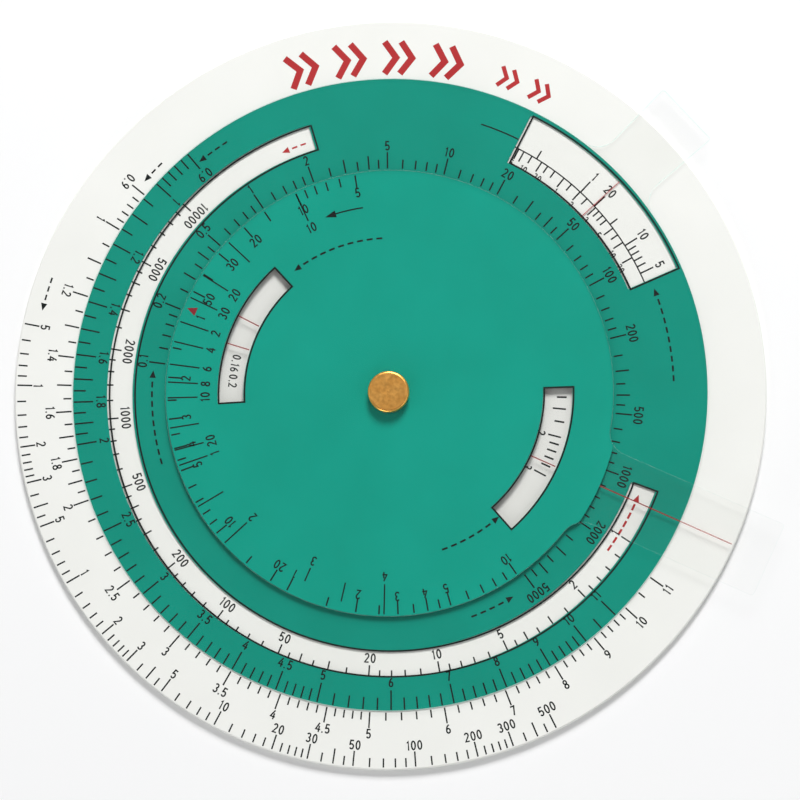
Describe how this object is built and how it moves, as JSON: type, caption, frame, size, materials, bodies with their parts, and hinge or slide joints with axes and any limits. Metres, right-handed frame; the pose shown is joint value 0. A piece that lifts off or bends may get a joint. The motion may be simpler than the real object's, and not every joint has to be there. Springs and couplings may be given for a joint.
{
  "type": "circular slide rule",
  "caption": "Circular slide rule: white disc with printed scales, a clear green dial with a grip tab, a smaller dial with a cursor arm, and a brass pivot.",
  "frame": {"origin": "on the pivot's axis, level with the flat back face that the rule rests on", "axes": "+Z out of the printed face along the pivot's axis, +Y to the top of the printed face, +X to its right"},
  "size_m": [0.2043, 0.2, 0.0066],
  "materials": {
    "white_plastic": "smooth satin white plastic",
    "clear_plastic": "clear glossy plastic sheet",
    "green_ink": "screen-printed green ink under the clear sheet",
    "black_ink": "screen-printed black ink",
    "red_ink": "screen-printed red ink",
    "brass": "turned bare brass",
    "washer_nylon": "natural nylon",
    "spring_steel": "bright spring steel"
  },
  "bodies": {
    "base": {"base_disc": "white_plastic", "pivot_post": "brass", "pivot_screw": "brass", "spring_washer": "spring_steel", "lower_friction_washer": "washer_nylon", "middle_friction_washer": "washer_nylon", "head_washer": "washer_nylon"},
    "large_dial": {"large_dial": "clear_plastic"},
    "cursor_dial": {"cursor_dial": "clear_plastic"}
  },
  "joints": [
    {"name": "large_dial_turn", "type": "hinge", "parent": "base", "child": "large_dial", "pos_m": [0, 0, 0.0028], "axis": [0, 0, 1], "continuous": true},
    {"name": "cursor_dial_turn", "type": "hinge", "parent": "base", "child": "cursor_dial", "pos_m": [0, 0, 0.004], "axis": [0, 0, 1], "continuous": true}
  ]
}
